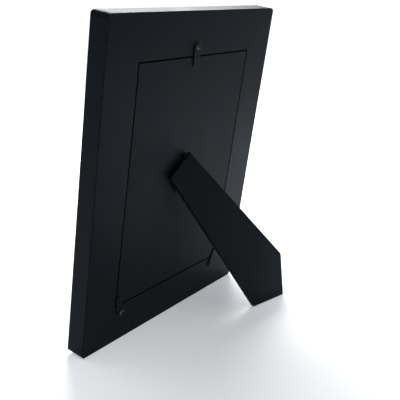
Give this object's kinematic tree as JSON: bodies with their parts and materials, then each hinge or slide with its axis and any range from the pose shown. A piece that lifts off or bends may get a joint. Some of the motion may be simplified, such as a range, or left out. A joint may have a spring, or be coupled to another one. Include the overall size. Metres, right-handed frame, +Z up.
{
  "type": "easel back photo frame",
  "caption": "Black mitred photo frame standing on a folding easel leg, with a flush backing board held in by turn buttons.",
  "frame": {"origin": "on the ground, in the middle of the footprint's bounding box", "axes": "+Z up, the picture faces -Y and the leg stands out towards +Y; +X is to the right as the picture is seen"},
  "size_m": [0.191, 0.0773, 0.2412],
  "materials": {
    "moulding": "black satin lacquer on a mitred wood moulding",
    "board_cover": "fibreboard faced with matt black paper",
    "leg_cover": "fibreboard wrapped in matt black paper",
    "card": "plain grey-brown card",
    "blank_sheet": null,
    "glass": "clear float glass",
    "black_steel": "black enamelled pressed steel",
    "button_steel": "black enamelled pressed steel, worn at the edges",
    "screw_steel": "blackened steel",
    "pin_steel": "drawn steel wire",
    "rivet_steel": "blackened steel",
    "nail_steel": "bright steel strip"
  },
  "bodies": {
    "frame": {"rail_top": "moulding", "rail_bottom": "moulding", "rail_left": "moulding", "rail_right": "moulding", "corner_nails": "nail_steel", "glass_pane": "glass", "photo_insert": "blank_sheet", "filler_card": "card", "backing_board": "board_cover", "hinge_base_leaf": "black_steel", "hinge_pin": "pin_steel", "base_rivets": "rivet_steel", "button_screw_left": "screw_steel", "button_screw_right": "screw_steel", "button_screw_top": "screw_steel"},
    "leg": {"easel_leg": "leg_cover", "hinge_leg_leaf": "black_steel", "leg_rivets": "rivet_steel"},
    "button_left": {"turn_button_left": "button_steel"},
    "button_right": {"turn_button_right": "button_steel"},
    "button_top": {"turn_button_top": "button_steel"}
  },
  "joints": [
    {"name": "leg_fold", "type": "hinge", "parent": "frame", "child": "leg", "pos_m": [0.00642, -0.00294, 0.1246], "axis": [-0.7965, 0.0921, 0.5975], "range_deg": [0, 20.3]},
    {"name": "turn_button_left_swivel", "type": "hinge", "parent": "frame", "child": "button_left", "pos_m": [-0.0581, -0.02021, 0.0244], "axis": [0, 0.9883, -0.1524], "continuous": true},
    {"name": "turn_button_right_swivel", "type": "hinge", "parent": "frame", "child": "button_right", "pos_m": [0.0581, -0.02021, 0.0244], "axis": [0, 0.9883, -0.1524], "continuous": true},
    {"name": "turn_button_top_swivel", "type": "hinge", "parent": "frame", "child": "button_top", "pos_m": [0.0035, 0.00911, 0.21455], "axis": [0, 0.9883, -0.1524], "continuous": true}
  ]
}
